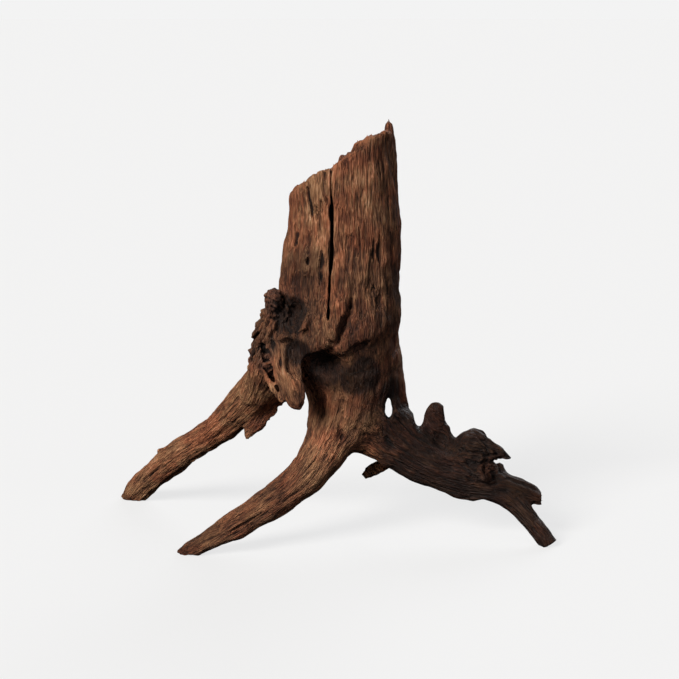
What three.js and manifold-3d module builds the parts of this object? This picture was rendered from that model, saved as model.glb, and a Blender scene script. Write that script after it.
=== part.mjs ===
// Driftwood: the weathered stump of a small tree, grown as one piece, that stands on three roots.
// Millimetres, +Z up, the front seen along +Y. The origin is on the ground, under the middle of its outline.
//
// The wood is a field of signed distances, below zero inside. Limbs are joined into it with soft fillets,
// hollows are carved out of it, marching cubes give its skin, and edge collapses thin that skin out.
import * as THREE from "three";
import { MarchingCubes } from "three/addons/objects/MarchingCubes.js";
import { mergeVertices } from "three/addons/utils/BufferGeometryUtils.js";
import Module from "manifold-3d";

// Sampling of the field
const CELL = 2;
const SAMPLES = 170;
const GRID_CENTRE = new THREE.Vector3(-8, 16, 144);
const REACH = 22; // how far round a limb its distances are worked out
const FAR = 60; // the distance kept where no limb is near
const STEPS = 4; // spine samples from one station to the next
const TRIANGLES = 11000;

// Trunk
const TRUNK_HALF_WIDTH = 38.8;
const TRUNK_HALF_DEPTH = 34;
const CRACK = { width: 2.4, floorY: -25, depth: 40 };

// The broken top: heights of the rim from left to right, and the rotted heart behind it
const RIM = [
  [-44, 238], [-35, 244.5], [-30, 248], [-21, 253], [-17, 256.5], [-5, 262.5], [6, 270.8], [14, 273.6],
  [17.5, 275.5], [19.5, 282.4], [31, 286.4], [44, 287],
];
const BACK_FALL = 0.2; // how steeply the break falls away to the back
const HEART = { x: 3, y: 2, halfWidth: 27, halfDepth: 22, depth: 15 };
const CHIP = { x: 13.5, y: -21, halfWidth: 6, halfDepth: 5, height: 5 }; // freshly broken, inside the rim
const SNAG = { x: 6, y: 27, halfWidth: 9, halfDepth: 8, height: 9 }; // stands up on the rim behind

// Ground
const SOLE_Z = 0;
const GROUND_SIZE = 600;

// A limb is a list of stations [x, y, z, half width, half depth] on a smooth spine. The half width lies
// along broad, and fillet is the reach of the blend with the wood that it grows from. Grooves is the depth
// of the weathered grooves along it, and counts says how many of them there are round it, coarse to fine.
const TRUNK = {
  broad: [1, 0, 0], fillet: 0, grooves: 1.2, counts: [7, 13, 21],
  stations: [
    [2, 0, 306, 35.2, 32], [2, 0, 280, 35.2, 32.5], [2.4, 0, 240, 36.8, TRUNK_HALF_DEPTH],
    [2.4, 0, 212, TRUNK_HALF_WIDTH, 35], [0.6, 0, 194, 41.2, 36], [0, 0, 178, 41.8, 36.5],
    [0, -1, 158, 42.2, 37], [1, -1, 144, 39.4, 35], [5, 0, 130, 36.5, 29], [8, 1, 116, 33, 26],
    [9, 1, 100, 27, 23], [10, 0, 88, 21, 19], [16.5, -2, 73.6, 12, 13],
  ],
};
const ROOTS = [
  { // front root, towards the viewer and to the left
    broad: [0.6, -0.8, 0], fillet: 12, grooves: 1.1, counts: [5, 8],
    stations: [
      [6, -2, 116, 24, 22], [3.2, -4, 98, 23, 20.5], [-2.4, -8, 83, 20, 18.5], [-8.8, -14, 68, 16.4, 16],
      [-20, -22, 53, 13.4, 13.4], [-34.8, -28, 40.4, 11.7, 11.9], [-51.6, -33, 30, 10.7, 10.9],
      [-69, -37, 20, 9.8, 9.8], [-85.2, -40, 11.6, 8.4, 8.2], [-97, -41, 5, 6.8, 6.2],
      [-108, -41, 0.6, 3.4, 3],
    ],
  },
  { // left root, away from the viewer
    broad: [0.5, 0.8, 0], fillet: 9, grooves: 1.2, counts: [5, 9],
    stations: [
      [-30, 4, 134, 19, 18], [-42.5, 7, 119, 17.5, 16.8], [-54.8, 13, 102.8, 15.4, 15],
      [-66.4, 22, 89.6, 14.2, 14.2], [-79.8, 34, 73.9, 11.8, 11.8], [-94.2, 46, 59.4, 10.8, 10.8],
      [-110.8, 56, 47, 10.8, 10.9], [-126.8, 66, 32.2, 10.7, 10.7], [-141.8, 75, 17.7, 10.2, 10.2],
      [-152, 81, 6.6, 10, 10], [-157.4, 85, -3, 9, 9],
    ],
  },
  { // right root, nearly level, that carries the fin and the hump
    broad: [0, 1, 0], fillet: 11, grooves: 1.2, counts: [6, 9],
    stations: [
      [12, 2, 104, 20, 20], [21, 1, 88, 18.5, 21.4], [35.3, 0, 72.2, 16.5, 21.4], [51, -2, 60.2, 15, 18],
      [69, -4, 50.3, 14, 15.4], [88.5, -6, 43, 13.5, 16], [106, -8, 39.8, 11, 12.2],
      [121, -10, 36.6, 7.5, 8.6], [132.4, -11, 33, 5.8, 6.6], [139, -12, 30, 5, 5.8],
      [144, -12, 29, 4.8, 5.6],
    ],
  },
  { // its lower branch, down to the ground
    broad: [0.6, 0.8, 0], fillet: 4, grooves: 0.7, counts: [5],
    stations: [
      [100, -8, 39.5, 9, 9], [113, -11, 32.6, 7.8, 8.2], [123.6, -15, 24.6, 7, 7.4], [134, -20, 15.4, 7, 7],
      [139.4, -23, 8, 6.6, 6.6], [143.2, -24.6, 2.4, 6.8, 6.8], [147, -26, -3, 6.8, 6.8],
    ],
  },
  { // right strand, with the window between it and the right root
    broad: [1, 0, 0], fillet: 3, grooves: 0.6, counts: [5],
    stations: [
      [30, 4, 148, 9, 10], [35.4, 8, 127, 7.8, 11], [39.4, 9, 111, 6.6, 10], [40.8, 9, 97, 6, 8.5],
      [42.2, 8, 86, 5.6, 8], [45.6, 5, 74, 5.8, 8.5], [53, 1, 62, 8, 9],
    ],
  },
  { // broken root stub behind the trunk
    broad: [1, 0, 0], fillet: 12, grooves: 1.1, counts: [5, 8],
    stations: [
      [-2, 18, 138, 18, 14], [-6, 29, 116, 14, 13], [-9, 40, 98, 10.5, 10], [-11, 48, 85, 8, 8],
      [-12, 53, 76, 6.4, 6.4],
    ],
  },
  { // ridge down the back of the trunk, into the right root
    broad: [1, 0, 0], fillet: 14, grooves: 0.8, counts: [4],
    stations: [
      [14, 28, 206, 8, 6], [18, 29, 170, 11, 9], [22, 25, 136, 13, 12], [26, 17, 104, 10, 11],
      [34, 11, 78, 9, 11],
    ],
  },
];
const OUTGROWTHS = [
  { // plate under the left root, ending in a spike
    broad: [-0.75, 0.25, 0.6], fillet: 5, grooves: 0,
    stations: [
      [-46, 8, 106, 16, 6], [-52.4, 12, 91.6, 11.6, 4.2], [-58.6, 15, 78.6, 8.2, 3.2],
      [-63, 17, 70.4, 4, 2.6], [-65.4, 18, 65, 1.8, 1.6],
    ],
  },
  { // burl on the left of the trunk
    broad: [0, 1, 0], fillet: 7, grooves: 1.8, counts: [4, 7],
    stations: [
      [-41.5, -14, 157, 8, 8], [-44.4, -13, 147, 13, 13], [-46.4, -12, 133, 15, 14.5],
      [-49.5, -8, 118, 14, 14], [-54, 2, 105, 12.6, 12],
    ],
  },
  { // knob on the burl
    broad: [1, 0, 0], fillet: 3, grooves: 1, counts: [3, 5],
    stations: [
      [-43.6, -20, 175.6, 4.6, 4.8], [-44.8, -20, 171, 5.2, 5.8], [-45.4, -19, 165, 5, 5.8],
      [-46.6, -17, 158, 5.6, 6.6],
    ],
  },
  { // tongue, a broken branch that hangs in front of the burl
    broad: [0.85, -0.3, 0.3], fillet: 4, grooves: 1, counts: [3, 5],
    stations: [
      [-40, -18, 152, 7, 6], [-38, -27, 141, 10, 7.5], [-35, -34, 128, 10.8, 8],
      [-31.5, -39, 116.5, 9.2, 7.5], [-28.8, -41.5, 108.6, 7.6, 6.2], [-28.4, -42.5, 103.4, 5.2, 4.2],
    ],
  },
  { // thin rim of the hollow beside the knob
    broad: [1, 0, 0], fillet: 2, grooves: 0,
    stations: [
      [-20, -33, 164, 2, 2.6], [-23.5, -35.5, 158.4, 2.2, 2.6], [-28, -37, 154, 2.2, 2.4],
      [-34, -36.5, 151.8, 2.2, 2.4], [-39.4, -34, 148, 2.4, 2.6],
    ],
  },
  { // folded lip of the trunk over the front root
    broad: [-0.4, 0, 0.9], fillet: 6, grooves: 0,
    stations: [
      [28, -25.5, 161, 9, 4.5], [18.5, -30.5, 155, 8.6, 5], [10, -34, 149, 7.4, 4.6],
      [4.6, -36.4, 144.6, 5, 3.6], [1.4, -38, 141, 2.2, 1.8],
    ],
  },
  { // second fold, left of the lip, that sweeps down from the crack
    broad: [0.6, 0, 0.8], fillet: 9, grooves: 1, counts: [5, 9],
    stations: [
      [-3, -33, 170, 6, 3], [-6.5, -34.5, 159, 8, 3.6], [-12, -35, 150, 8.5, 4.4],
      [-19, -33.6, 145, 7.5, 4.6], [-25, -30, 141.5, 5, 4],
    ],
  },
  { // gnarled ridges across the burl
    broad: [1, 0, 0], fillet: 2, grooves: 0,
    stations: [[-48, -22, 158, 2.4, 3], [-54, -20, 152.5, 2.6, 3.4], [-58, -17, 147, 1.8, 2.6]],
  },
  {
    broad: [1, 0, 0], fillet: 2, grooves: 0,
    stations: [[-45.5, -25, 153, 2, 3], [-51, -24, 146, 2.6, 3.6], [-55.6, -21, 139, 2, 3]],
  },
  {
    broad: [1, 0, 0], fillet: 2, grooves: 0,
    stations: [[-46, -27, 147, 2, 3], [-50.5, -25.5, 139, 2.4, 3.4], [-53.6, -22, 130, 2, 3]],
  },
  { // edge of the strip beside the tongue
    broad: [1, 0, 0], fillet: 2, grooves: 0,
    stations: [
      [-51.5, -26, 126, 1.8, 2.6], [-47.6, -31, 119, 1.8, 2.6], [-43.6, -36, 113, 1.8, 2.6],
      [-38.6, -41, 106, 1.8, 2.4],
    ],
  },
  { // fin that stands up from the right root
    broad: [1, 0, 0], fillet: 5, grooves: 0.5, counts: [3],
    stations: [
      [73, -3, 46, 18, 9], [70, 0, 62, 15, 6.5], [67, 2, 73, 12.6, 5.2], [66.2, 3, 82, 9, 4.4],
      [66.9, 3, 88.5, 6.8, 4], [67.7, 3, 91.6, 5.8, 3.6],
    ],
  },
  { // hump with the hooked beak
    broad: [1, 0, 0], fillet: 5, grooves: 1.2, counts: [4, 7],
    stations: [
      [88, -5, 46, 15, 13], [92, -6, 57, 16, 12], [92, -6, 66, 12.8, 10.4], [93.8, -6, 71.6, 9, 7],
    ],
  },
  {
    broad: [0, 1, 0], fillet: 4, grooves: 0.4, counts: [3],
    stations: [
      [92, -7, 67.4, 8, 6.6], [101, -8, 66.2, 8, 6], [108.4, -9, 62.6, 6, 5], [114, -9, 59.2, 4.8, 4.2],
      [116.8, -9, 57, 3.6, 3.2],
    ],
  },
  { // knuckle behind the beak, and the pale knot in front
    broad: [0, 1, 0], fillet: 4, grooves: 0.4, counts: [3],
    stations: [[106, -2, 44, 8, 8], [110.4, -4, 49.4, 6, 5], [112.2, -4, 51.6, 3.4, 2.8]],
  },
  {
    broad: [1, 0, 0], fillet: 3, grooves: 0.8, counts: [4],
    stations: [[98, -14, 51, 6, 5], [98, -20, 49.6, 6, 5], [98, -22.5, 49, 4, 3.4]],
  },
  { // broken tip of a small root under the right root
    broad: [0, 1, 0], fillet: 4, grooves: 0.4, counts: [3],
    stations: [
      [46, 10, 60, 7, 8], [36, 12, 51, 4, 5], [27, 13, 45, 2.8, 4.4], [21, 14, 41, 2.2, 3.8],
      [18, 14, 38.4, 1.4, 2.4],
    ],
  },
  { // splinter up the right edge of the trunk
    broad: [1, 0, 0], fillet: 2, grooves: 0,
    stations: [
      [36.8, -3, 222, 2.4, 5], [35.2, -3, 243, 2.8, 6], [33.6, -3, 262, 3, 5.5], [33, -3, 278, 3, 4.8],
      [32.9, -3, 286.8, 3, 4],
    ],
  },
  { // snag on the left root
    broad: [1, 0, 0], fillet: 3, grooves: 0,
    stations: [[-129, 64, 36, 4, 4], [-133, 64, 42.4, 2.6, 2.4]],
  },
];

// Hollows are limbs of air. Soft is the reach of their rounded rims.
const HOLLOWS = [
  { // beside the knob
    broad: [1, 0, 0], soft: 2,
    stations: [
      [-33, -54, 165, 10.2, 13.4], [-33, -36, 164.4, 9.6, 12.8], [-32, -27, 164, 8, 10.4],
      [-31, -20, 163.4, 4.6, 6],
    ],
  },
  { // under the trunk's lip
    broad: [1, 0, 0], soft: 5,
    stations: [[-10, -52, 129, 15, 10.5], [-10, -35, 128.4, 13.6, 10], [-10, -26, 127, 8.4, 6]],
  },
  { // broken face of the tongue
    broad: [1, 0, 0], soft: 1.2,
    stations: [
      [-29.6, -41, 145.2, 6.6, 9], [-28.8, -41.4, 141, 9, 10], [-27.6, -43, 134, 9.4, 9.6],
      [-25.6, -47, 128, 7.4, 8.6],
    ],
  },
  { // under the folded lip
    broad: [0.86, 0, 0.5], soft: 1.6,
    stations: [[11, -48, 141.6, 11, 2.8], [12.5, -33, 141.4, 9.4, 2.4]],
  },
  { // window beside the strand, sloping down to the back
    broad: [1, 0, 0], soft: 1.2,
    stations: [[33, -26, 98.8, 2.9, 7.6], [35, 36, 83, 2.9, 7.6]],
  },
  { // cupped front of the fin
    broad: [1, 0, 0], soft: 3,
    stations: [[75, -22, 74, 8, 10], [72, -8, 74, 7, 9]],
  },
  { // beside the pale knot
    broad: [1, 0, 0], soft: 2.5,
    stations: [[106, -30, 46, 5, 4], [108, -17, 47, 4, 3.5]],
  },
  { // under the beak
    broad: [0, 1, 0], soft: 1.6,
    stations: [[123, -9, 52.8, 8, 2.4], [113.2, -9, 55.8, 8, 1.4]],
  },
  { // valley down the left of the front, into the hollow beside the knob
    broad: [1, 0, 0], soft: 3,
    stations: [
      [-28, -26, 218, 1.8, 3], [-29, -26.5, 204, 3.4, 5.4], [-29.6, -28, 190, 4.4, 6.6],
      [-31, -31, 176, 6, 7.6],
    ],
  },
  { // drying groove between the folds
    broad: [1, 0, 0], soft: 1.6,
    stations: [
      [8.4, -36, 200, 0.8, 1.4], [8.2, -36.5, 184, 1.6, 3], [7.6, -36, 171, 2, 4],
      [4.3, -37, 161.7, 2.3, 4.6], [1.7, -38, 155, 2.4, 4.6], [-0.6, -39, 149, 2.2, 4],
      [-2, -40, 144, 1.6, 3],
    ],
  },
  { // gap between the burl and the tongue
    broad: [1, 0, 0], soft: 1.6,
    stations: [[-51, -25, 141, 1.2, 3], [-49, -28, 132, 2, 4], [-46, -32, 121, 1.6, 3.4]],
  },
  { // groove where the front root and the right root part
    broad: [1, 0, 0], soft: 2.4,
    stations: [
      [2, -27, 103, 0.8, 1.6], [1, -27, 95, 1.2, 2.4], [0.6, -26.5, 86, 1.4, 2.8], [1.6, -25, 77, 1.4, 2.4],
    ],
  },
  { // groove where the strand parts from the trunk, down to the window
    broad: [1, 0, 0], soft: 2,
    stations: [
      [41.6, -5, 132, 1, 2], [39.4, -9, 124, 1.8, 4], [36.6, -13, 113.4, 2.2, 4.5], [34, -14, 103, 2.4, 5],
    ],
  },
  { // saddle between the strand and the fin
    broad: [1, 0, 0], soft: 2,
    stations: [[55, -26, 85.4, 4, 8.6], [55, 28, 85.4, 4, 8.6]],
  },
  { // blunt broken end of the right root's upper arm
    broad: [1, 0, 0], soft: 0.8,
    stations: [[150.4, -34, 30, 10, 10], [150.4, 10, 30, 10, 10]],
  },
  { // slanted broken end of its lower branch
    broad: [1, 0, 0], soft: 0.8,
    stations: [[150.4, -52, -10.6, 14, 14], [150.4, 6, -10.6, 14, 14]],
  },
  { // weathered pits and flutes left of the crack
    broad: [1, 0, 0], soft: 1.4,
    stations: [[-21, -30, 262, 1.2, 2.4], [-21.4, -30.6, 254, 2, 3.6], [-20.6, -31, 246, 1.4, 2.6]],
  },
  {
    broad: [1, 0, 0], soft: 1.4,
    stations: [[-21.6, -30.5, 220, 1.4, 2.8], [-21, -31, 210, 2.6, 4.2], [-20.4, -31.6, 199, 1.8, 3.4]],
  },
  {
    broad: [1, 0, 0], soft: 1.4,
    stations: [[-13.4, -34, 214, 1.2, 2.4], [-12.8, -34.6, 206, 2, 3.6], [-13.6, -35, 195, 1.4, 2.6]],
  },
  {
    broad: [1, 0, 0], soft: 1.4,
    stations: [[-27.4, -26, 236, 1.2, 2.4], [-28, -26.6, 226, 1.8, 3.4], [-28.4, -27, 217, 1.4, 2.6]],
  },
  {
    broad: [1, 0, 0], soft: 1.4,
    stations: [[-22.6, -31, 191, 1.4, 2.6], [-22, -31.6, 182, 2.2, 4], [-20.6, -33, 172, 1.6, 3]],
  },
  {
    broad: [1, 0, 0], soft: 1.4,
    stations: [[-16.8, -31, 254, 1, 2], [-16.4, -31.5, 246, 2, 4], [-16.4, -32, 239, 1.2, 2.4]],
  },
  {
    broad: [1, 0, 0], soft: 1.4,
    stations: [[-15.6, -32, 237, 1.2, 2.4], [-14.8, -32.5, 229, 2.2, 4.6], [-15.4, -33.5, 220, 1.4, 3]],
  },
  { // weathered pockets behind
    broad: [1, 0, 0], soft: 4,
    stations: [[-12, 44, 214, 5, 15], [-12, 33, 210, 4, 12]],
  },
  {
    broad: [1, 0, 0], soft: 2,
    stations: [[22, 40, 236, 1.6, 3], [20, 38, 214, 3, 5], [17, 37, 190, 2, 4]],
  },
];

// A repeatable draw between 0 and 1.
function draw(seed) {
  const x = Math.sin(seed * 127.1 + 31.7) * 43758.5453;
  return x - Math.floor(x);
}

// A smooth random field between -1 and 1, with features about one unit apart.
function noise(x, y, z) {
  const { lerp } = THREE.MathUtils;
  const cell = [x, y, z].map(Math.floor);
  const [u, v, w] = [x, y, z].map((at, axis) => THREE.MathUtils.smoothstep(at - cell[axis], 0, 1));
  const seed = 1.31 * cell[0] + 57.73 * cell[1] + 113.57 * cell[2];
  const corner = (i, j, k) => 2 * draw(seed + 1.31 * i + 57.73 * j + 113.57 * k) - 1;
  const edge = (j, k) => lerp(corner(0, j, k), corner(1, j, k), u);
  return lerp(lerp(edge(0, 0), edge(1, 0), v), lerp(edge(0, 1), edge(1, 1), v), w);
}

function lerpTable(rows, x) {
  const next = rows.findIndex(([at]) => at > x);
  if (next === 0) return rows[0][1];
  if (next < 0) return rows[rows.length - 1][1];
  const [x0, y0] = rows[next - 1];
  const [x1, y1] = rows[next];
  return y0 + ((y1 - y0) * (x - x0)) / (x1 - x0);
}

// Spine samples: point, section axes and half sizes, with the length along the spine.
function sampleLimb({ stations, broad }) {
  const points = stations.map(([x, y, z]) => new THREE.Vector3(x, y, z));
  const curve = new THREE.CatmullRomCurve3(points, false, "centripetal");
  const steps = (stations.length - 1) * STEPS;
  const samples = [];
  let along = 0;
  for (let i = 0; i <= steps; i++) {
    const at = (i / steps) * (stations.length - 1);
    const k = Math.min(Math.floor(at), stations.length - 2);
    const mix = at - k;
    const point = curve.getPoint(i / steps);
    const tangent = curve.getTangent(i / steps);
    const across = new THREE.Vector3(...broad);
    across.addScaledVector(tangent, -across.dot(tangent)).normalize();
    const over = new THREE.Vector3().crossVectors(tangent, across);
    if (i) along += point.distanceTo(samples[i - 1].point);
    const ease = mix * mix * (3 - 2 * mix);
    const half = (axis) => THREE.MathUtils.lerp(stations[k][axis], stations[k + 1][axis], ease);
    samples.push({ point, across, over, along, width: half(3), depth: half(4) });
  }
  return samples;
}

// Depth of the weathered grooves round a limb: narrow valleys that drift and fade along its length.
function grooveDepth({ grooves, counts }, seed, angle, along) {
  const depths = counts.map((count, i) => {
    const [start, drift, pace, phase] = [3, 0, 5, 9].map((n) => draw(seed + i + n));
    const turn = 0.5 * count * (angle + 0.024 * along * (drift - 0.5)) + 0.4 * Math.sin(0.05 * along + i);
    const fade = 0.55 + 0.45 * Math.sin(along * (0.035 + 0.02 * pace) + 2 * Math.PI * phase);
    return (fade * (1 - Math.abs(Math.sin(turn + 2 * Math.PI * start))) ** 2) / (1 + 0.45 * i);
  });
  return grooves * depths.reduce((sum, depth) => sum + depth, 0);
}

// The nearest place on a sampled spine, as the segment's number and the share of the way along it.
function nearestOnSpine(samples, p) {
  let nearest = { gap: Infinity, k: 0, share: 0 };
  for (let k = 0; k < samples.length - 1; k++) {
    const a = samples[k];
    const b = samples[k + 1];
    const [ex, ey, ez] = [b.point.x - a.point.x, b.point.y - a.point.y, b.point.z - a.point.z];
    const [px, py, pz] = [p.x - a.point.x, p.y - a.point.y, p.z - a.point.z];
    const share = THREE.MathUtils.clamp((px * ex + py * ey + pz * ez) / (ex * ex + ey * ey + ez * ez), 0, 1);
    const size = THREE.MathUtils.lerp(a.width + a.depth, b.width + b.depth, share);
    const gap = Math.hypot(px - share * ex, py - share * ey, pz - share * ez) - size / 2;
    if (gap < nearest.gap) nearest = { gap, k, share };
  }
  return nearest;
}

// Signed distance from a point to a sampled limb, with its grooves.
function limbDistance(limb, samples, seed, p, scratch) {
  const { k, share } = nearestOnSpine(samples, p);
  const a = samples[k];
  const b = samples[k + 1];
  const width = THREE.MathUtils.lerp(a.width, b.width, share);
  const depth = THREE.MathUtils.lerp(a.depth, b.depth, share);
  scratch.copy(a.point).lerp(b.point, share).subVectors(p, scratch);
  const u = THREE.MathUtils.lerp(scratch.dot(a.across), scratch.dot(b.across), share);
  const v = THREE.MathUtils.lerp(scratch.dot(a.over), scratch.dot(b.over), share);
  const reach = scratch.length();
  const past = Math.sqrt(Math.max(0, reach * reach - u * u - v * v)); // past the limb's end
  const ratio = Math.hypot(u / width, v / depth, past / Math.min(width, depth));
  const distance = ratio > 1e-6 ? (reach * (ratio - 1)) / ratio : -Math.min(width, depth);
  return limb.grooves ? distance + grooveDepth(limb, seed, Math.atan2(v, u), a.along) : distance;
}

// Soft minimum of two distances, blended where they differ by less than the reach.
function softMin(a, b, reach) {
  if (!reach) return Math.min(a, b);
  const h = Math.max(0, reach - Math.abs(a - b)) / reach;
  return Math.min(a, b) - (h * h * reach) / 4;
}

// How far a point lies inside an upright oval: 1 in its middle, 0 on its outline.
function insideOval(oval, x, y) {
  return Math.max(0, 1 - ((x - oval.x) / oval.halfWidth) ** 2 - ((y - oval.y) / oval.halfDepth) ** 2);
}

// Height of the broken top over a point of the trunk. The rim climbs to the right in splintered steps and
// falls away behind, and the heart of the trunk is rotted out.
function breakHeight(x, y) {
  const inner = THREE.MathUtils.smoothstep(y, -30, -12); // the front of the rim is clean, the rest is ragged
  const ragged = 2.6 * noise(x * 0.16, y * 0.16, 0) + 1.6 * noise(x * 0.5, y * 0.5, 7);
  const rot = HEART.depth * insideOval(HEART, x, y) ** 0.6 * (0.8 + 0.35 * noise(x * 0.12, y * 0.12, 3));
  const chip = CHIP.height * Math.min(1, 3 * insideOval(CHIP, x, y));
  const snag = SNAG.height * Math.min(1, 3 * insideOval(SNAG, x, y));
  const slope = lerpTable(RIM, x) - BACK_FALL * (y + TRUNK_HALF_DEPTH);
  return slope + ragged * (0.15 + 0.85 * inner) - rot + chip + snag;
}

// Slow unevenness of the whole surface.
function lumps({ x, y, z }) {
  return 0.9 * noise(x * 0.07, y * 0.07, z * 0.05) + 0.5 * noise(x * 0.16, y * 0.16, z * 0.1);
}

// The field on a cube of samples, x fastest and z slowest.
class Field {
  constructor() {
    this.values = new Float32Array(SAMPLES ** 3).fill(FAR);
    this.point = new THREE.Vector3();
  }

  place(i, j, k) {
    return this.point.set(i, j, k).subScalar(SAMPLES / 2).multiplyScalar(CELL).add(GRID_CENTRE);
  }

  // Calls change(old distance, point) for each sample in a box of space.
  each(box, change) {
    const low = this.index(box.min, Math.floor);
    const high = this.index(box.max, Math.ceil);
    for (let k = low.z; k <= high.z; k++)
      for (let j = low.y; j <= high.y; j++)
        for (let i = low.x; i <= high.x; i++) {
          const q = i + SAMPLES * (j + SAMPLES * k);
          this.values[q] = change(this.values[q], this.place(i, j, k));
        }
  }

  index(corner, round) {
    const at = corner.clone().sub(GRID_CENTRE).divideScalar(CELL).addScalar(SAMPLES / 2);
    const keep = (x) => Math.min(SAMPLES - 1, Math.max(0, round(x)));
    return { x: keep(at.x), y: keep(at.y), z: keep(at.z) };
  }

  stamp(limb, seed, combine) {
    const samples = sampleLimb(limb);
    const box = new THREE.Box3();
    const scratch = new THREE.Vector3();
    samples.forEach(({ point, width, depth }) => {
      const r = Math.max(width, depth) + REACH;
      box.expandByPoint(point.clone().addScalar(r)).expandByPoint(point.clone().addScalar(-r));
    });
    this.each(box, (old, p) => combine(old, limbDistance(limb, samples, seed, p, scratch)));
  }

  join(limb, seed) {
    this.stamp(limb, seed, (old, d) => softMin(old, d, limb.fillet));
  }

  carve(limb, seed) {
    this.stamp(limb, seed, (old, d) => -softMin(-old, d, limb.soft));
  }

  breakTop() {
    const box = new THREE.Box3(new THREE.Vector3(-60, -50, 205), new THREE.Vector3(60, 50, 320));
    this.each(box, (old, p) => Math.max(old, 0.75 * (p.z - breakHeight(p.x, p.y))));
  }

  roughen() {
    const size = new THREE.Vector3().setScalar(SAMPLES * CELL);
    const box = new THREE.Box3().setFromCenterAndSize(GRID_CENTRE, size);
    this.each(box, (old, p) => (Math.abs(old) < 3 * CELL ? old + lumps(p) : old));
  }

  // The skin as a merged, indexed geometry in millimetres.
  skin() {
    const cubes = new MarchingCubes(SAMPLES, new THREE.MeshBasicMaterial(), false, false, 200000);
    cubes.isolation = 0;
    const clear = 0.03 * CELL; // no corner lies on the surface itself, which would pinch it
    this.values.forEach((d, q) => (cubes.field[q] = Math.abs(d) < clear ? -Math.sign(d || 1) * clear : -d));
    cubes.update();
    const positions = cubes.geometry.getAttribute("position").array.slice(0, cubes.count * 3);
    const geometry = new THREE.BufferGeometry();
    geometry.setAttribute("position", new THREE.BufferAttribute(positions, 3));
    geometry.scale(...new Array(3).fill((SAMPLES / 2) * CELL)).translate(...GRID_CENTRE);
    return mergeVertices(geometry, 0.01);
  }
}

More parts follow.
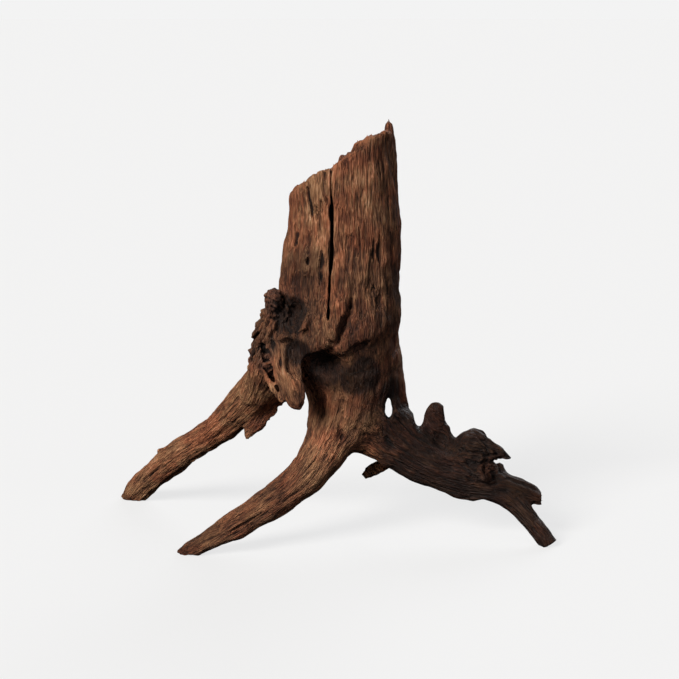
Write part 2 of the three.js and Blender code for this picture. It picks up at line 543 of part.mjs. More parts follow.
// Thins a closed triangle mesh by collapsing the edges that change its shape least (quadric errors).
function thin(geometry, wanted) {
  const source = geometry.getAttribute("position");
  const pointAt = (_, i) => new THREE.Vector3().fromBufferAttribute(source, i);
  const points = Array.from({ length: source.count }, pointAt);
  const faces = [];
  const ring = points.map(() => new Set());
  const errors = points.map(() => new Float64Array(10));
  const stamps = new Uint32Array(points.length);
  const [ab, ac, normal] = [new THREE.Vector3(), new THREE.Vector3(), new THREE.Vector3()];

  const cross = (a, b, c) => normal.crossVectors(ab.subVectors(b, a), ac.subVectors(c, a));
  const index = geometry.index.array;
  for (let t = 0; t < index.length; t += 3) {
    const face = [index[t], index[t + 1], index[t + 2]];
    if (new Set(face).size < 3) continue;
    face.forEach((v) => ring[v].add(faces.length));
    faces.push(face);
    const [a, b, c] = face.map((v) => points[v]);
    const area = cross(a, b, c).length() / 2;
    if (area < 1e-9) continue;
    normal.normalize();
    const plane = [normal.x, normal.y, normal.z, -normal.dot(a)];
    let n = 0;
    for (let i = 0; i < 4; i++)
      for (let j = i; j < 4; j++, n++) face.forEach((v) => (errors[v][n] += area * plane[i] * plane[j]));
  }

  const costAt = (q, { x, y, z }) =>
    q[0] * x * x + 2 * q[1] * x * y + 2 * q[2] * x * z + 2 * q[3] * x + q[4] * y * y +
    2 * q[5] * y * z + 2 * q[6] * y + q[7] * z * z + 2 * q[8] * z + q[9];

  // Where an edge should collapse to, and what that costs.
  const plan = (u, v) => {
    const q = errors[u].map((e, i) => e + errors[v][i]);
    const middle = points[u].clone().lerp(points[v], 0.5);
    const choices = [middle, points[u].clone(), points[v].clone()];
    const m = new THREE.Matrix3().set(q[0], q[1], q[2], q[1], q[4], q[5], q[2], q[5], q[7]);
    if (Math.abs(m.determinant()) > 1e-3) {
      const best = new THREE.Vector3(-q[3], -q[6], -q[8]).applyMatrix3(m.invert());
      if (best.distanceTo(middle) < 2 * points[u].distanceTo(points[v])) choices.unshift(best);
    }
    const costs = choices.map((p) => costAt(q, p));
    const k = costs.indexOf(Math.min(...costs));
    const shortness = 1e-4 * points[u].distanceToSquared(points[v]);
    return { cost: costs[k] + shortness, to: choices[k], u, v, stamp: stamps[u] + stamps[v] };
  };

  const heap = new Heap();
  const neighbours = (v) => new Set([...ring[v]].flatMap((f) => faces[f]).filter((w) => w !== v));
  points.forEach((_, u) => neighbours(u).forEach((v) => u < v && heap.push(plan(u, v))));

  // A collapse is safe if exactly two corners are shared, and no face round it turns over or goes thin.
  const safe = ({ u, v, to }) => {
    const near = neighbours(u);
    if ([...neighbours(v)].filter((w) => near.has(w)).length !== 2) return false;
    return [u, v].every((w) =>
      [...ring[w]].every((f) => {
        if (faces[f].includes(u) && faces[f].includes(v)) return true;
        const before = cross(...faces[f].map((x) => points[x])).clone();
        const [a, b, c] = faces[f].map((x) => (x === w ? to : points[x]));
        const after = cross(a, b, c);
        const longest = Math.max(a.distanceToSquared(b), b.distanceToSquared(c), c.distanceToSquared(a));
        return after.dot(before) > 0.25 * after.length() * before.length() && after.length() > 0.12 * longest;
      }),
    );
  };

  let left = faces.length;
  while (left > wanted && heap.size) {
    const edge = heap.pop();
    const { u, v } = edge;
    if (!ring[u].size || !ring[v].size || edge.stamp !== stamps[u] + stamps[v] || !safe(edge)) continue;
    points[u].copy(edge.to);
    errors[u].forEach((_, i) => (errors[u][i] += errors[v][i]));
    for (const f of ring[v]) {
      if (faces[f].includes(u)) {
        faces[f].forEach((w) => ring[w].delete(f));
        faces[f] = null;
        left--;
      } else {
        faces[f] = faces[f].map((w) => (w === v ? u : w));
        ring[u].add(f);
      }
    }
    ring[v].clear();
    const round = neighbours(u);
    stamps[u]++;
    round.forEach((w) => heap.push(plan(u, w)));
  }

  const numbers = new Map();
  const kept = faces.filter(Boolean);
  kept.flat().forEach((v) => numbers.has(v) || numbers.set(v, numbers.size));
  const positions = new Float32Array([...numbers.keys()].flatMap((v) => points[v].toArray()));
  return new THREE.BufferGeometry()
    .setAttribute("position", new THREE.BufferAttribute(positions, 3))
    .setIndex(kept.flat().map((v) => numbers.get(v)));
}

// A binary heap of plans, the cheapest first.
class Heap {
  items = [];

  get size() {
    return this.items.length;
  }

  push(item) {
    const { items } = this;
    let i = items.push(item) - 1;
    while (i > 0) {
      const up = (i - 1) >> 1;
      if (items[up].cost <= items[i].cost) break;
      [items[up], items[i]] = [items[i], items[up]];
      i = up;
    }
  }

  pop() {
    const { items } = this;
    const top = items[0];
    const last = items.pop();
    if (!items.length) return top;
    items[0] = last;
    for (let i = 0; ; ) {
      const l = 2 * i + 1;
      const r = l + 1;
      let least = i;
      if (l < items.length && items[l].cost < items[least].cost) least = l;
      if (r < items.length && items[r].cost < items[least].cost) least = r;
      if (least === i) return top;
      [items[least], items[i]] = [items[i], items[least]];
      i = least;
    }
  }
}

const wasm = await Module();
wasm.setup();

function solidOf(geometry) {
  const bare = geometry.clone();
  bare.deleteAttribute("normal");
  bare.deleteAttribute("uv");
  const merged = mergeVertices(bare, 1e-4);
  return new wasm.Manifold(
    new wasm.Mesh({
      numProp: 3,
      vertProperties: new Float32Array(merged.getAttribute("position").array),
      triVerts: new Uint32Array(merged.index.array),
    }),
  );
}

function geometryOf(solid) {
  const { vertProperties, triVerts } = solid.getMesh();
  return new THREE.BufferGeometry()
    .setAttribute("position", new THREE.BufferAttribute(vertProperties, 3))
    .setIndex(new THREE.BufferAttribute(triVerts, 1));
}

// The long drying crack down the front of the trunk: a thin wandering wedge, open at the break.
// Each point of its path is [x, z, share of the full width].
function crackCutter() {
  const path = [
    [-5, 278, 1], [-5.5, 250, 1], [-4.8, 225, 1.1], [-5.4, 200, 1], [-6.6, 178, 1], [-7.2, 165, 0.9],
    [-7.6, 157, 0.6], [-8, 152, 0.1],
  ];
  const half = CRACK.width / 2;
  const side = (sign) => path.map(([x, z, share]) => new THREE.Vector2(x + sign * share * half, z));
  const outline = new THREE.Shape([...side(-1), ...side(1).reverse()]);
  return new THREE.ExtrudeGeometry(outline, { depth: CRACK.depth, bevelEnabled: false })
    .rotateX(Math.PI / 2)
    .translate(0, CRACK.floorY, 0);
}

// Everything below the soles.
function groundCutter() {
  const middleZ = SOLE_Z - GROUND_SIZE / 2;
  return new THREE.BoxGeometry(GROUND_SIZE, GROUND_SIZE, GROUND_SIZE).translate(0, 0, middleZ);
}

function largestPiece(solid) {
  return solid.decompose().reduce((a, b) => (b.volume() > a.volume() ? b : a));
}

function driftwood() {
  const field = new Field();
  field.join(TRUNK, 1);
  field.breakTop();
  [...ROOTS, ...OUTGROWTHS].forEach((limb, i) => field.join(limb, 10 * (i + 2)));
  HOLLOWS.forEach((limb, i) => field.carve(limb, i));
  field.roughen();
  const wood = largestPiece(solidOf(thin(field.skin(), TRIANGLES)));
  const cut = wood.subtract(solidOf(crackCutter())).subtract(solidOf(groundCutter()));
  const geometry = geometryOf(largestPiece(cut));
  geometry.computeBoundingBox();
  geometry.computeVertexNormals();
  return geometry;
}

const wood = new THREE.MeshStandardMaterial({ color: 0x5e3d2b, roughness: 0.85, metalness: 0 });
const stump = new THREE.Mesh(driftwood(), wood);
stump.name = "driftwood";
const middle = stump.geometry.boundingBox.getCenter(new THREE.Vector3());
stump.position.set(-middle.x, -middle.y, -SOLE_Z);

const model = new THREE.Group();
model.add(stump);
export default model;
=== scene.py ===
"""Driftwood: the skin, splinters and colour of a weathered stump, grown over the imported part.

The grain follows the trunk and the roots. A field of directions is blended from their axes, noise is
averaged along its streamlines, and the result is the relief and the streaks of the wood. The scene is in
metres. Limbs, knots, patches and the cells of the grain are in millimetres, from the stump's own zero.
"""

import math

import bmesh
import bpy
import numpy as np
from bpy.props import FloatProperty, FloatVectorProperty, IntProperty, PointerProperty
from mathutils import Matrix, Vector
from mathutils.bvhtree import BVHTree


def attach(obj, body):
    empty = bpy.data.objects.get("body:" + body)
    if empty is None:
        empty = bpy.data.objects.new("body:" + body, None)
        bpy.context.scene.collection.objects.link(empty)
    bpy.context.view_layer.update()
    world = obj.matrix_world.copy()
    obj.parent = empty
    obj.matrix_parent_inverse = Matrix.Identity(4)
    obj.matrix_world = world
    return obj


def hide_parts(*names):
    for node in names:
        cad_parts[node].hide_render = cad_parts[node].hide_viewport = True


bl_info = {
    "name": "Driftwood",
    "version": (1, 0, 0),
    "blender": (4, 5, 0),
    "location": "3D View > Sidebar > Driftwood",
    "description": "Carves the weathered skin of a driftwood stump, grows its splinters and lights it",
    "category": "Object",
}

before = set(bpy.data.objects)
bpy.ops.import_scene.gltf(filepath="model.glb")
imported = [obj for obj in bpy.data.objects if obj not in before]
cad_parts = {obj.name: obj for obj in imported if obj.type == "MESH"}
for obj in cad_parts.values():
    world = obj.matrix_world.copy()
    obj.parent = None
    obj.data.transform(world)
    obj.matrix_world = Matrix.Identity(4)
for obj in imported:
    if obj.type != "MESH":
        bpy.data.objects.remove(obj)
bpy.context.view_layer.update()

MM = 0.001
STUMP_ORIGIN = np.array((7.90, -22.78, 0.0))  # where the limbs' own zero lies in the part's frame, mm

# Limbs as the grain sees them: stations (x, y, z, reach) in millimetres, from the trunk outwards
LIMBS = {
    "trunk": (
        (2, 0, 320, 34), (2, 0, 280, 34), (2, 0, 240, 36), (2, 0, 212, 38), (0, 0, 178, 40),
        (1, -1, 144, 38), (6, -2, 116, 28), (4, -4, 98, 22),
    ),
    "front root": (
        (6, -2, 126, 26), (6, -2, 116, 25), (3, -4, 98, 22), (-2, -8, 83, 19), (-9, -14, 68, 16),
        (-20, -22, 53, 13.4), (-35, -28, 40, 11.8), (-52, -33, 30, 10.8), (-69, -37, 20, 9.8),
        (-85, -40, 11.6, 8.4), (-97, -41, 5, 6.5), (-112, -41, -1, 4),
    ),
    "left root": (
        (-26, 2, 160, 16), (-30, 4, 134, 18), (-42, 7, 119, 17), (-55, 13, 103, 15), (-66, 22, 90, 14),
        (-80, 34, 74, 12), (-94, 46, 59, 11), (-111, 56, 47, 11), (-127, 66, 32, 10.7),
        (-142, 75, 18, 10.2), (-157, 85, -3, 9),
    ),
    "right root": (
        (16, 2, 126, 16), (12, 2, 104, 18), (21, 1, 88, 19), (35, 0, 72, 19), (51, -2, 60, 16.5),
        (69, -4, 50, 14.7), (88, -6, 43, 14.7), (106, -8, 40, 11.6), (121, -10, 37, 8),
        (132, -11, 33, 6.3), (145, -12, 28, 5),
    ),
    "lower branch": (
        (100, -8, 40, 9), (113, -11, 33, 8), (124, -15, 25, 7.2), (134, -20, 15, 7.3), (141, -24, 8, 7),
        (146, -27, -2, 6),
    ),
    "strand": (
        (30, 4, 148, 9), (35, 8, 127, 9), (39, 9, 111, 8), (41, 9, 97, 7), (42, 8, 86, 7), (46, 5, 74, 7),
        (53, 1, 62, 8),
    ),
    "back stub": (
        (-2, 18, 138, 16), (-6, 29, 116, 13), (-9, 40, 98, 10), (-11, 48, 85, 8), (-12, 53, 72, 6),
    ),
    "back ridge": (
        (14, 28, 206, 7), (18, 29, 170, 10), (22, 25, 136, 12), (26, 17, 104, 10), (34, 11, 78, 10),
    ),
    "burl": (
        (-40, -14, 160, 8), (-44, -13, 147, 13), (-46, -12, 133, 15), (-50, -8, 118, 14), (-54, 2, 105, 12),
    ),
    "tongue": (
        (-40, -18, 152, 7), (-38, -27, 141, 9), (-35, -34, 128, 9), (-31, -39, 116, 8), (-28, -43, 98, 5),
    ),
}

# Knots that the fibres part round: centre, the way that the knot points, and its radius, mm
KNOTS = (
    ((-45, -22, 168), (-0.4, -0.9, 0.2), 9),
    ((103, -20, 53), (0.2, -0.9, 0.4), 9),
    ((-48, -26, 126), (-0.5, -0.8, 0.1), 8),
    ((22, -32, 176), (0.4, -0.9, 0.0), 5),
    ((-24, 30, 196), (-0.5, 0.85, 0.0), 8),
    ((14, 30, 238), (0.4, 0.9, 0.1), 6),
    ((-6, 30, 150), (-0.1, 1.0, 0.2), 9),
)

# Patches of the wood, as (centre, reach) balls in millimetres
GNARLED = (((-50, -16, 150), 20), ((-52, -14, 134), 18), ((-44, -20, 168), 12), ((96, -12, 58), 18))
PITTED = (
    ((-24, -30, 262), 20), ((-25, -32, 234), 24), ((-22, -34, 208), 22), ((-18, -36, 182), 16),
    ((-44, -20, 168), 11), ((-50, -20, 145), 14), ((102, -18, 52), 8),
)
# Ochre patches: partly the wood's ochre, partly painted light, lying on the left and front sides where the
# key light falls
OCHRE_AND_PAINTED_LIGHT = (
    ((-32, -26, 256), 36), ((-34, -28, 222), 34), ((-8, -34, 210), 22), ((14, -36, 246), 24),
    ((-42, -40, 126), 17), ((-62, 4, 110), 26), ((-90, 32, 70), 40), ((-120, 54, 42), 46),
    ((-146, 70, 22), 24), ((-10, -34, 270), 22), ((8, -28, 96), 22), ((-12, -34, 66), 20),
)
# Wet patches: partly wet wood, partly painted shade on the right root and lower branch, which the trunk
# shades, and in the trunk's recesses
WET_AND_SHADED = (
    ((66, -8, 60), 40), ((86, -10, 60), 42), ((104, -12, 52), 38), ((124, -14, 34), 32),
    ((140, -22, 12), 28), ((46, -6, 78), 26), ((36, -10, 104), 16), ((12, -26, 122), 18),
    ((-12, -30, 126), 20), ((-33, -28, 164), 17), ((-26, -33, 138), 12), ((68, 2, 84), 18),
    ((104, -8, 40), 18),
)
# Damp patches: partly damp wood, partly painted shade in the recesses and on the trunk's right side, away
# from the key light
DAMP_AND_SHADED = (
    ((-52, -16, 146), 22), ((-46, -20, 168), 12), ((-28, -40, 138), 15), ((-33, -28, 164), 24),
    ((8, -36, 146), 22), ((-16, -36, 146), 16), ((30, -26, 150), 26), ((42, -10, 176), 16),
    ((-28, -30, 190), 22), ((26, -20, 108), 30),
)
CALM = (((-31, -26, 164), 13), ((-29, -36, 138), 10), ((68, 0, 80), 17), ((12, -28, 130), 12))
GREY = (((-52, -18, 138), 18), ((-44, -20, 170), 13), ((38, 4, 116), 18))
FRESH = (((14, -22, 284), 10), ((138, -16, 30), 9), ((101, -20, 51), 7))
BROKEN = (((0, 0, 270), 60), ((140, -14, 30), 9), ((-12, 54, 72), 12))
PATCH_RIM = (0.45, 1.15)  # shares of a ball's reach between which its patch fades
PATCH_FRAY = 0.6  # share of the reach by which noise moves the rim in and out

GRAIN_PITCH = 5.0  # mm from one known direction of the grain to the next
GRAIN_MARGIN = 3  # steps of that pitch from the wood to the edge of what is known
GRAIN_STEP = 0.9  # mm along a streamline from one place to the next
SAMPLE_SPACING = 0.45  # share of a noise's cell between two samples of it along a streamline
SWAY_CELL = 16  # mm, size of the bends that the fibres wander in
SWAY = 0.35  # how far they wander, as a share of their own direction
GNARLED_SWAY = 1.5  # how much further they do in gnarled wood
KNOT_PULL = 1.6  # the most that a knot turns the fibres
KNOT_FADE = (1.0, 3.0)  # radii from a knot's centre between which its pull fades

# Streaks along the fibres: cell of the noise, and how far it is averaged each way, mm
STREAKS = {"broad": (4.6, 20), "narrow": (2.5, 13), "short": (1.7, 6), "split": (1.9, 20), "hole": (3.0, 10)}
CLOUD_CELL = 26  # mm across the clouds that splits keep to
FRAY_CELL = 11  # mm, finer noise on the rims of patches
SWELLINGS = ((1, 0, 17), (0.5, 50, 8), (0.25, 90, 4))  # share, shift and cell of each layer of lumps, mm
SHARPNESS = 1.3  # power that cuts the grooves sharper than the ridges
RIDGE_SHARE = 0.6  # height of a ridge as a share of a groove's depth
DAMP_AND_SHADED_SHARE = 0.45  # how strongly the damp patches darken, as damp wood and as painted shade

WEAR = 0.5  # share of the way to its neighbours' middle that a vertex moves in one round
REGROWTH = 0.515  # and moves back, which keeps the wood from shrinking
MERGE_DISTANCE = 1e-6  # m, corners closer than this are one

RIDGE_HEIGHT = 0.35  # mm above the wood around it that counts as one whole ridge
RAYS = 14  # directions in which a vertex looks for wood that shades it
RAY_START = 0.0016  # m above the skin
RAY_REACH = 0.045  # m
FAR_WOOD = 0.6  # share of the light left where the shading wood is a whole reach away

EVEN_SIDE = np.array((0.8, 0.6, 0.0))  # a level direction that no limb follows
GATHERING = 0.7  # how far the fibres draw together where a limb thins, 1 for all the way
LIMBS_APART = 37.0  # mm between the places of two limbs in the pattern of the fine fibres

# Fibres that the material draws: width in millimetres, and length as a multiple of it
FINE_FIBRES = (0.55, 11.0)
COARSE_FIBRES = (1.4, 16.0)
BUMP = 0.0007  # m, height of those fibres

SPLINTER_TIP = 0.00006  # m, radius
SPLINTER_ROOT = 0.0008  # m that a splinter is sunk into the wood
FLOOR_RADIUS = 30.0  # m
CAMERA_REACH = 200.0  # m, well past the rim of the floor


class LatticeNoise:
    """Smooth noise from 0 to 1 on a cubic lattice, the same for the same seed."""

    SIZE = 1 << 16
    STRIDES = np.array((73856093, 19349663, 83492791), np.uint32)

    def __init__(self, seed):
        self.table = np.random.default_rng(seed).random(self.SIZE, dtype=np.float32)

    def __call__(self, points, cell):
        place = np.asarray(points, np.float32) / np.float32(cell)
        low = np.floor(place)
        part = place - low
        part = part * part * (3 - 2 * part)
        keys = low.astype(np.int32).astype(np.uint32) * self.STRIDES
        total = np.zeros(len(place), np.float32)
        for corner in range(8):
            key, share = 0, 1
            for axis in range(3):
                upper = corner >> axis & 1
                key = key ^ (keys[:, axis] + self.STRIDES[axis] * np.uint32(upper))
                share = share * (part[:, axis] if upper else 1 - part[:, axis])
            total += share * self.table[key & np.uint32(self.SIZE - 1)]
        return total


def smoothstep(low, high, value):
    part = np.clip((value - low) / (high - low), 0, 1)
    return part * part * (3 - 2 * part)


def patches(points, balls, rough):
    """From 0 to 1, how far each point lies inside any of the balls.

    Rough is noise from 0 to 1 that frays the rims.
    """
    inside = np.zeros(len(points), np.float32)
    for centre, reach in balls:
        far = np.linalg.norm(points - np.array(centre), axis=1) / reach
        inside = np.maximum(inside, 1 - smoothstep(*PATCH_RIM, far + PATCH_FRAY * (rough - 0.5)))
    return inside


def remoteness(far):
    """What a limb's pull on a point is divided by, from their distance as a share of the limb's reach."""
    return far**6 + 0.02


class GrainField:
    """The way that the fibres run, at any point of the stump."""

    def __init__(self, low, high, seed):
        self.low = low - GRAIN_MARGIN * GRAIN_PITCH
        self.shape = np.ceil((high - self.low) / GRAIN_PITCH).astype(int) + GRAIN_MARGIN + 1
        axes = [self.low[i] + GRAIN_PITCH * np.arange(self.shape[i]) for i in range(3)]
        grid = np.stack(np.meshgrid(*axes, indexing="ij"), axis=-1).reshape(-1, 3).astype(np.float32)
        total = np.zeros_like(grid)
        for stations in LIMBS.values():
            far, along = self.nearest(grid, np.array(stations, np.float32))
            total += along / remoteness(far)[:, None]
        total = self.parted_round_knots(grid, self.unit(total))
        noise = LatticeNoise(seed)
        sway = np.stack([noise(grid + 100 * (i + 1), SWAY_CELL) for i in range(3)], axis=1) - 0.5
        gnarl = patches(grid, GNARLED, np.full(len(grid), 0.5, np.float32))
        total = self.unit(total + sway * (SWAY + GNARLED_SWAY * gnarl)[:, None])
        self.grid = np.ascontiguousarray(total.reshape(*self.shape, 3), np.float32)

    @staticmethod
    def unit(vectors):
        return vectors / np.maximum(np.linalg.norm(vectors, axis=1), 1e-6)[:, None]

    @classmethod
    def nearest(cls, points, stations):
        """Each point's distance from a limb's axis, as a share of its reach, and the axis's way there."""
        places, reach = stations[:, :3], stations[:, 3]
        leads = cls.unit(np.gradient(places, axis=0))
        best = np.full(len(points), 1e9, np.float32)
        along = np.zeros_like(points)
        for i in range(len(stations) - 1):
            way = places[i + 1] - places[i]
            part = np.clip((points - places[i]) @ way / (way @ way), 0, 1)[:, None]
            far = np.linalg.norm(points - places[i] - part * way, axis=1)
            far = far / (reach[i] + part[:, 0] * (reach[i + 1] - reach[i]))
            nearer = far < best
            best[nearer] = far[nearer]
            along[nearer] = (leads[i] + part * (leads[i + 1] - leads[i]))[nearer]
        return best, along

    @classmethod
    def parted_round_knots(cls, points, along):
        """The fibres pass a knot as a stream passes a post, and turn round it close by."""
        for centre, points_to, radius in KNOTS:
            axis = np.array(points_to, np.float32)
            axis /= np.linalg.norm(axis)
            off = points - np.array(centre, np.float32)
            across = off - (off @ axis)[:, None] * axis
            far = np.linalg.norm(across, axis=1)
            out = across / np.maximum(far, 1e-3)[:, None]
            pull = np.minimum((radius / np.maximum(far, radius * 0.5)) ** 2, KNOT_PULL)
            near = 1 - smoothstep(*KNOT_FADE, np.linalg.norm(off, axis=1) / radius)
            bent = along - (pull * near)[:, None] * (2 * np.sum(along * out, axis=1)[:, None] * out - along)
            along = cls.unit(bent)
        return along

    def __call__(self, points):
        place = (points - self.low) / GRAIN_PITCH
        low = np.clip(np.floor(place).astype(np.int64), 0, self.shape - 2)
        part = np.clip(place - low, 0, 1).astype(np.float32)
        flat = self.grid.reshape(-1, 3)
        steps = (int(self.shape[1] * self.shape[2]), int(self.shape[2]), 1)
        total = np.zeros((len(points), 3), np.float32)
        for corner in range(8):
            key, share = 0, 1
            for axis in range(3):
                upper = corner >> axis & 1
                key = key + (low[:, axis] + upper) * steps[axis]
                share = share * (part[:, axis] if upper else 1 - part[:, axis])
            total += share[:, None] * flat[key]
        return self.unit(total)


class Streamlines:
    """The places before and after each point along its fibre, as far as length millimetres each way."""

    def __init__(self, points, field, length):
        self.start = points.astype(np.float32)
        self.ways = []
        for way in (1, -1):
            place = self.start
            line = []
            for _ in range(round(length / GRAIN_STEP)):
                place = place + np.float32(way * GRAIN_STEP) * field(place)
                line.append(place)
            self.ways.append(line)

    def streaks(self, noise, cell, length):
        """Noise averaged along the fibre over length millimetres each way, with mean 0 and spread 1."""
        stride = max(1, int(SAMPLE_SPACING * cell / GRAIN_STEP))
        count = round(length / GRAIN_STEP)
        total = noise(self.start, cell)
        for line in self.ways:
            for k in range(stride - 1, count, stride):
                weight = np.float32(0.5 + 0.5 * math.cos(math.pi * (k + 1) / (count + 1)))
                total = total + weight * noise(line[k], cell)
        return (total - total.mean()) / total.std()


def limb_frame(stations):
    """A limb's stations, the two sides at each of them, and its length so far."""
    places = np.array(stations, float)[:, :3]
    leads = np.gradient(places, axis=0)
    leads /= np.linalg.norm(leads, axis=1)[:, None]
    first = EVEN_SIDE - (leads @ EVEN_SIDE)[:, None] * leads
    first /= np.linalg.norm(first, axis=1)[:, None]
    run = np.concatenate(((0,), np.cumsum(np.linalg.norm(np.diff(places, axis=0), axis=1))))
    return places, first, np.cross(leads, first), run


def straightened(points, stations):
    """Each point's distance from a limb's axis, and its place in the wood as if the limb were straight.

    The distance is a share of the limb's reach. The place is two ways across it and one along it, in
    millimetres.
    """
    places, first, second, run = limb_frame(stations)
    reach = np.array(stations, float)[:, 3]
    best = np.full(len(points), 1e9)
    found = np.zeros((len(points), 3))
    for i in range(len(stations) - 1):
        way = places[i + 1] - places[i]
        part = (points - places[i]) @ way / (way @ way)
        inner = np.clip(part, 0, 1)[:, None]
        off = points - places[i] - inner * way
        size = reach[i] + inner[:, 0] * (reach[i + 1] - reach[i])
        far = np.linalg.norm(off, axis=1) / size
        nearer = far < best
        best[nearer] = far[nearer]
        even = (reach.mean() / size) ** GATHERING
        across = [
            np.sum(off * (side[i] + inner * (side[i + 1] - side[i])), axis=1) * even
            for side in (first, second)
        ]
        along = run[i] + inner[:, 0] * (run[i + 1] - run[i]) + off @ way / np.linalg.norm(way)
        found[nearer] = np.stack((*across, along), axis=1)[nearer]
    return best, found


class Neighbours:
    """Averages a value over the vertices joined to each vertex."""

    def __init__(self, mesh):
        edges = np.empty(2 * len(mesh.edges), np.int32)
        mesh.edges.foreach_get("vertices", edges)
        pairs = edges.reshape(-1, 2)
        self.start = np.concatenate((pairs[:, 0], pairs[:, 1]))
        self.end = np.concatenate((pairs[:, 1], pairs[:, 0]))
        self.size = len(mesh.vertices)
        self.count = np.maximum(np.bincount(self.start, minlength=self.size), 1)

    def mean(self, values):
        columns = values.reshape(self.size, -1)
        sums = [np.bincount(self.start, columns[self.end, i], self.size) for i in range(columns.shape[1])]
        return (np.stack(sums, axis=1) / self.count[:, None]).reshape(values.shape)

    def smooth(self, values, rounds):
        for _ in range(rounds):
            values = 0.5 * values + 0.5 * self.mean(values)
        return values


def places_of(mesh):
    """The mesh's vertices in millimetres from the stump's own zero."""
    flat = np.empty(3 * len(mesh.vertices), np.float32)
    mesh.vertices.foreach_get("co", flat)
    return flat.reshape(-1, 3) / MM - STUMP_ORIGIN


def move_to(mesh, places):
    mesh.vertices.foreach_set("co", ((places + STUMP_ORIGIN) * MM).astype(np.float32).ravel())
    mesh.update()


def normals_of(mesh):
    flat = np.empty(3 * len(mesh.vertices), np.float32)
    mesh.vertex_normals.foreach_get("vector", flat)
    return flat.reshape(-1, 3)


def keep(mesh, name, values, domain="POINT"):
    """Stores a number or a vector for each vertex, or each face corner, as a named attribute."""
    kind, field = ("FLOAT", "value") if values.ndim == 1 else ("FLOAT_VECTOR", "vector")
    layer = mesh.attributes.new(name, kind, domain)
    layer.data.foreach_set(field, values.astype(np.float32).ravel())


# Meshes


def closed_copy(node):
    """A node's triangles with their shared corners joined, as a new object."""
    work = bmesh.new()
    work.from_mesh(node.data)
    bmesh.ops.remove_doubles(work, verts=work.verts, dist=MERGE_DISTANCE)
    mesh = bpy.data.meshes.new("weathered_wood")
    work.to_mesh(mesh)
    work.free()
    made = bpy.data.objects.new("weathered_wood", mesh)
    bpy.context.scene.collection.objects.link(made)
    return made


def apply_modifiers(made):
    """Gives an object its evaluated mesh, and takes its modifiers away."""
    graph = bpy.context.evaluated_depsgraph_get()
    ready = made.evaluated_get(graph)
    mesh = bpy.data.meshes.new_from_object(ready, preserve_all_data_layers=True, depsgraph=graph)
    made.modifiers.clear()
    made.data = mesh


def even_skin(made, settings):
    """Puts a closed skin of even squares in place of the part's triangles, and wears it smooth."""
    cover = made.modifiers.new("Skin", "REMESH")
    cover.mode = "VOXEL"
    cover.voxel_size = settings.skin_pitch * 1
    apply_modifiers(made)
    near = Neighbours(made.data)
    places = places_of(made.data)
    for _ in range(settings.wear_rounds):
        places = places + WEAR * (near.mean(places) - places)
        places = places - REGROWTH * (near.mean(places) - places)
    move_to(made.data, places)


def weather(made, settings):
    """Gives each vertex its fibre, the heights that the relief is carved by, and its patches."""
    mesh = made.data
    places = places_of(mesh)
    outward = normals_of(mesh)
    field = GrainField(places.min(0), places.max(0), settings.seed)
    along = field(places)
    lines = Streamlines(places, field, max(length for _, length in STREAKS.values()))
    bumps, *noises = (LatticeNoise(settings.seed + i) for i in range(1 + len(STREAKS)))
    clouds = noises[0]
    broad, narrow, short, split, hole = (
        lines.streaks(noise, *size) for noise, size in zip(noises, STREAKS.values())
    )
    cloud = clouds(places, CLOUD_CELL)
    rough = 0.6 * cloud + 0.4 * clouds(places + 300, FRAY_CELL)
    calm = patches(places, CALM, rough)
    end_grain = np.abs(np.sum(outward * along, axis=1))

    groove = 0.5 * broad + 0.5 * narrow + 0.42 * short
    groove = np.where(groove < 0, -(np.abs(groove) ** SHARPNESS), RIDGE_SHARE * groove)
    groove = np.clip(groove, -2.6, 1.3) * (1 - 0.5 * smoothstep(0.6, 0.9, end_grain)) * (1 - 0.7 * calm)
    lump = sum(share * bumps(places + shift, cell) for share, shift, cell in SWELLINGS)
    lump = lump - 0.5 * sum(share for share, _, _ in SWELLINGS)
    keep(mesh, "groove", groove)
    keep(mesh, "split", smoothstep(1.5, 2.3, split) * smoothstep(0.4, 0.6, cloud) * (1 - calm))
    keep(mesh, "pit", smoothstep(0.9, 1.9, hole) * patches(places, PITTED, rough))
    keep(mesh, "lump", lump + 0.7 * (short - 0.4) * patches(places, GNARLED, rough))

    keep(mesh, "streak", 0.4 * broad + 0.5 * narrow + 0.4 * short)
    keep(mesh, "fibre_out", np.sign(np.sum(outward * along, axis=1))[:, None] * along)
    keep(mesh, "broken", smoothstep(0.5, 0.8, end_grain) * patches(places, BROKEN, rough))
    # A mask of wet wood and painted shade, from the wet and damp patches
    keep(mesh, "wet_and_shade", np.maximum(patches(places, WET_AND_SHADED, rough), DAMP_AND_SHADED_SHARE * patches(places, DAMP_AND_SHADED, rough)))
    # Ochre patches also carry painted light on the lit side; grey and fresh are the wood's own colours
    for name, balls in (("ochre", OCHRE_AND_PAINTED_LIGHT), ("grey", GREY), ("fresh", FRESH)):
        keep(mesh, name, patches(places, balls, rough))


def thin_out(made, most):
    """Leaves the skin, whose faces are squares, no more triangles than asked."""
    thinner = made.modifiers.new("Thinning", "DECIMATE")
    thinner.ratio = min(1.0, most / (2 * len(made.data.polygons)))
    apply_modifiers(made)


